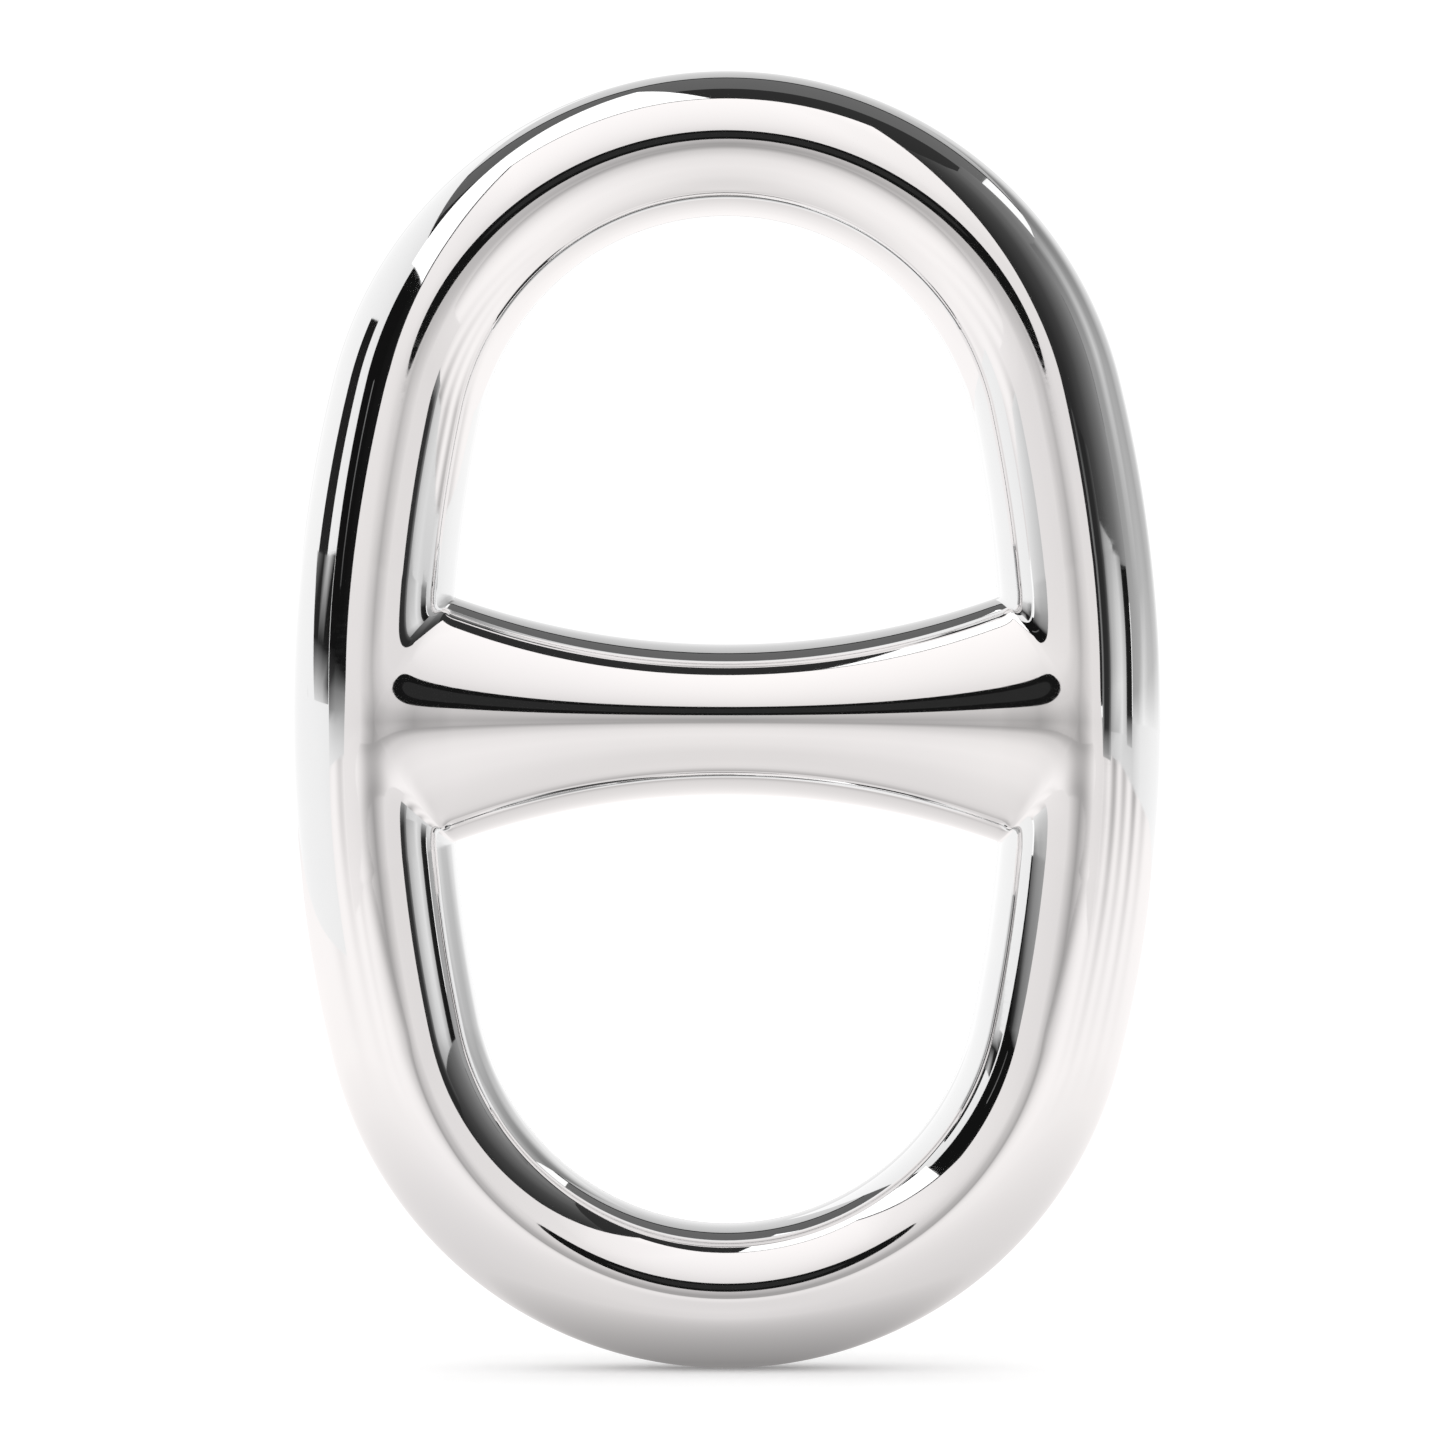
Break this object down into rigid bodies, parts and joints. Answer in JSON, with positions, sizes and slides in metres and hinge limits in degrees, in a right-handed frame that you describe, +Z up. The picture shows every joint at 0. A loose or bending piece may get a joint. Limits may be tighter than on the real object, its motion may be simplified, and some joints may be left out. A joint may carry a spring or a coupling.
{
  "type": "two-part link puzzle",
  "caption": "Polished oval stud link with a waisted crossbar that parts along its mid-plane: the halves swivel on a hidden stud, lock with gravity pins and pull apart.",
  "frame": {"origin": "centre of the crossbar on the mid-plane where the two halves meet", "axes": "+X across the link to the right seen from the front, +Y from the front half towards the back half, +Z up along the link"},
  "size_m": [0.0704, 0.0134, 0.105],
  "materials": {
    "link_polish": "mirror-polished plated metal with faint hairline scratches; the mating faces are lapped satin",
    "hard_steel": "ground and hardened steel with fine turning marks",
    "bush_bronze": "turned bronze",
    "slip_plastic": "skived white slip plastic",
    "magnet_nickel": "nickel-plated disc magnet"
  },
  "bodies": {
    "front": {"front_half_link": "link_polish", "pivot_bush": "bush_bronze", "glide_washer": "slip_plastic", "lock_sleeve_left": "bush_bronze", "lock_sleeve_right": "bush_bronze", "front_magnet_upper": "magnet_nickel", "front_magnet_lower": "magnet_nickel"},
    "pivot": {"pivot_stud": "hard_steel"},
    "back": {"back_half_link": "link_polish", "hub_socket": "bush_bronze", "hub_magnet": "magnet_nickel", "catch_bush_left": "bush_bronze", "catch_bush_right": "bush_bronze", "back_magnet_upper": "magnet_nickel", "back_magnet_lower": "magnet_nickel"},
    "pin_left": {"lock_pin_left": "hard_steel"},
    "pin_right": {"lock_pin_right": "hard_steel"}
  },
  "joints": [
    {"name": "swivel", "type": "hinge", "parent": "front", "child": "pivot", "pos_m": [0, 0, 0], "axis": [0, 1, 0], "continuous": true},
    {"name": "pull_off", "type": "slide", "parent": "pivot", "child": "back", "axis": [0, 1, 0], "range_m": [0, 0.03]},
    {"name": "pin_drop_left", "type": "slide", "parent": "front", "child": "pin_left", "axis": [0, 1, 0], "range_m": [0, 0.0028]},
    {"name": "pin_drop_right", "type": "slide", "parent": "front", "child": "pin_right", "axis": [0, 1, 0], "range_m": [0, 0.0028]}
  ]
}
